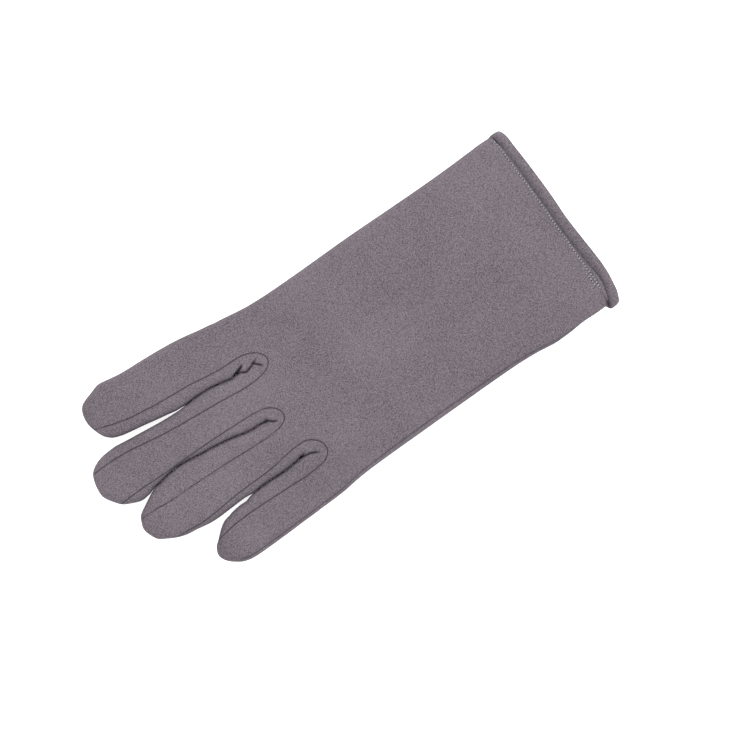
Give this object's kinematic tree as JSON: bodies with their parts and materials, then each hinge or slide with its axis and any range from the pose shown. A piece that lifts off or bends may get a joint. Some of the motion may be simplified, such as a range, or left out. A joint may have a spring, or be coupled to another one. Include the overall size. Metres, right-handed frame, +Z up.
{
  "type": "wrist length dress glove",
  "caption": "Left-hand dress glove of stretch jersey lying palm down, with finger strips, a folded thumb and a buttoned wrist vent.",
  "frame": {"origin": "bottom centre of the whole glove's box, on the surface that the palm rests on", "axes": "+X across the hand towards the index finger, +Y from the cuff to the fingertips, +Z up out of the back of the hand"},
  "size_m": [0.103, 0.2402, 0.0113],
  "materials": {
    "jersey": "fine brushed stretch jersey, mauve grey",
    "facing_cloth": "the same jersey, wrong side out",
    "button_resin": "satin moulded resin, blue grey",
    "sewing_thread": "spun polyester thread, light grey"
  },
  "bodies": {
    "root": {"trank_back": "jersey", "trank_palm": "jersey", "fourchette_index_middle": "jersey", "fourchette_middle_ring": "jersey", "fourchette_ring_little": "jersey", "thumb": "jersey", "vent_facing": "facing_cloth", "button": "button_resin", "button_thread": "sewing_thread"}
  },
  "joints": []
}
